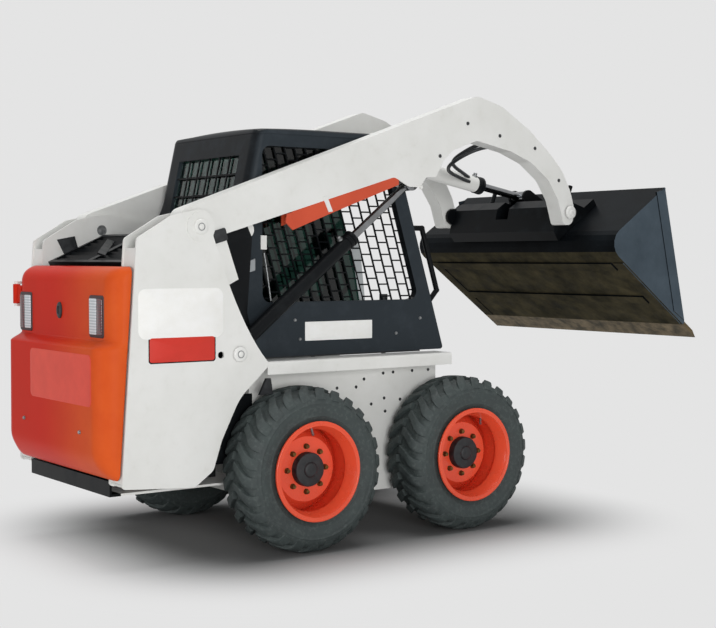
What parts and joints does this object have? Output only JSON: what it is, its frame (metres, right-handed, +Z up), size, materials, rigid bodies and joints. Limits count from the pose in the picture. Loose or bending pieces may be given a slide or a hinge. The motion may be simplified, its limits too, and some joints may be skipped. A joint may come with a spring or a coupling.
{
  "type": "skid steer loader",
  "caption": "Compact four-wheel loader with a tilting cage cab, arms hinged high at the rear, hydraulic cylinders and a wide bucket on a quick coupler.",
  "frame": {"origin": "on the ground, midway along the machine's length and width as parked", "axes": "+X forwards to the bucket, +Y to the machine's left, +Z up"},
  "size_m": [3.3174, 1.584, 2.0915],
  "materials": {
    "body_paint": "semi-gloss paint",
    "orange_paint": "semi-gloss paint",
    "black_paint": "satin paint",
    "barrel_paint": "satin paint",
    "bucket_paint": "worn paint",
    "worn_steel": "worn",
    "bare_steel": "machined",
    "chrome_rod": "polished",
    "cast_block": "painted casting",
    "black_plastic": "moulded",
    "tinted_glass": "tinted",
    "seat_vinyl": "embossed vinyl",
    "tyre_rubber": "worn rubber"
  },
  "bodies": {
    "chassis": {"main_frame": "body_paint", "fenders": "body_paint", "upright_right": "body_paint", "upright_left": "body_paint", "pivot_pins": "bare_steel", "rear_bumper": "black_paint", "rear_grille": "black_paint", "engine": "cast_block", "axle_housings": "cast_block", "controls": "black_plastic"},
    "cab": {"cab_frame": "black_paint", "cab_roof": "black_paint", "side_screens": "black_paint", "side_windows": "tinted_glass", "rear_window": "tinted_glass", "rear_window_bars": "black_paint", "seat_cushion": "seat_vinyl", "seat_back": "seat_vinyl", "seat_bar": "black_paint", "grab_handles": "black_paint", "front_lamps": "black_plastic"},
    "boom": {"arm_right": "body_paint", "arm_left": "body_paint", "arm_crosstube": "body_paint", "arm_support": "orange_paint"},
    "lift_barrel_r": {"lift_barrel_right": "barrel_paint"},
    "lift_barrel_l": {"lift_barrel_left": "barrel_paint"},
    "lift_rod_r": {"lift_rod_right": "chrome_rod"},
    "lift_rod_l": {"lift_rod_left": "chrome_rod"},
    "tilt_barrel_body": {"tilt_barrel": "barrel_paint"},
    "tilt_rod_body": {"tilt_rod": "chrome_rod"},
    "bucket": {"quick_attach": "black_paint", "attach_levers": "black_paint", "bucket_shell": "bucket_paint", "cutting_edge": "worn_steel"},
    "gate": {"tailgate": "orange_paint", "tail_lamps": "black_plastic"},
    "wheel_front_right": {"tyre_front_right": "tyre_rubber", "rim_front_right": "orange_paint"},
    "wheel_front_left": {"tyre_front_left": "tyre_rubber", "rim_front_left": "orange_paint"},
    "wheel_rear_right": {"tyre_rear_right": "tyre_rubber", "rim_rear_right": "orange_paint"},
    "wheel_rear_left": {"tyre_rear_left": "tyre_rubber", "rim_rear_left": "orange_paint"}
  },
  "joints": [
    {"name": "lift", "type": "hinge", "parent": "chassis", "child": "boom", "pos_m": [-1.19966, 0, 1.437], "axis": [0, -1, 0], "range_deg": [-37, 35]},
    {"name": "bucket_tilt", "type": "hinge", "parent": "boom", "child": "bucket", "pos_m": [0.98534, 0, 1.54], "axis": [0, 1, 0], "range_deg": [-100, 40]},
    {"name": "cab_tilt", "type": "hinge", "parent": "chassis", "child": "cab", "pos_m": [-0.89866, 0, 1.43], "axis": [0, -1, 0], "range_deg": [0, 45]},
    {"name": "gate_swing", "type": "hinge", "parent": "chassis", "child": "gate", "pos_m": [-1.58866, 0.513, 0.8], "axis": [0, 0, -1], "range_deg": [0, 95]},
    {"name": "lift_barrel_swing_r", "type": "hinge", "parent": "chassis", "child": "lift_barrel_r", "pos_m": [-1.00851, -0.475, 0.88926], "axis": [0, -1, 0], "range_deg": [-32.13, 30.43]},
    {"name": "lift_rod_slide_r", "type": "slide", "parent": "lift_barrel_r", "child": "lift_rod_r", "axis": [0.784, 0, 0.6208], "range_m": [-0.3498, 0.331]},
    {"name": "lift_barrel_swing_l", "type": "hinge", "parent": "chassis", "child": "lift_barrel_l", "pos_m": [-1.00851, 0.475, 0.88926], "axis": [0, -1, 0], "range_deg": [-32.13, 30.43]},
    {"name": "lift_rod_slide_l", "type": "slide", "parent": "lift_barrel_l", "child": "lift_rod_l", "axis": [0.784, 0, 0.6208], "range_m": [-0.3498, 0.331]},
    {"name": "tilt_barrel_swing", "type": "hinge", "parent": "boom", "child": "tilt_barrel_body", "pos_m": [0.38141, 0, 1.77501], "axis": [0, -1, 0], "range_deg": [-3.1, 7]},
    {"name": "tilt_rod_slide", "type": "slide", "parent": "tilt_barrel_body", "child": "tilt_rod_body", "axis": [0.9836, 0, -0.1801], "range_m": [-0.242, 0.098]},
    {"name": "spin_front_right", "type": "hinge", "parent": "chassis", "child": "wheel_front_right", "pos_m": [0.20634, -0.5575, 0.368], "axis": [0, 1, 0], "continuous": true},
    {"name": "spin_front_left", "type": "hinge", "parent": "chassis", "child": "wheel_front_left", "pos_m": [0.20634, 0.5575, 0.368], "axis": [0, 1, 0], "continuous": true},
    {"name": "spin_rear_right", "type": "hinge", "parent": "chassis", "child": "wheel_rear_right", "pos_m": [-0.69366, -0.5575, 0.368], "axis": [0, 1, 0], "continuous": true},
    {"name": "spin_rear_left", "type": "hinge", "parent": "chassis", "child": "wheel_rear_left", "pos_m": [-0.69366, 0.5575, 0.368], "axis": [0, 1, 0], "continuous": true}
  ],
  "couplings": [
    {"joint": "lift_barrel_swing_r", "follows": "lift", "ratio": 0.855},
    {"joint": "lift_rod_slide_r", "follows": "lift", "m_per_rad": 0.53858},
    {"joint": "lift_barrel_swing_l", "follows": "lift", "ratio": 0.855},
    {"joint": "lift_rod_slide_l", "follows": "lift", "m_per_rad": 0.53858},
    {"joint": "tilt_barrel_swing", "follows": "bucket_tilt", "ratio": -0.065},
    {"joint": "tilt_rod_slide", "follows": "bucket_tilt", "m_per_rad": 0.13751}
  ]
}
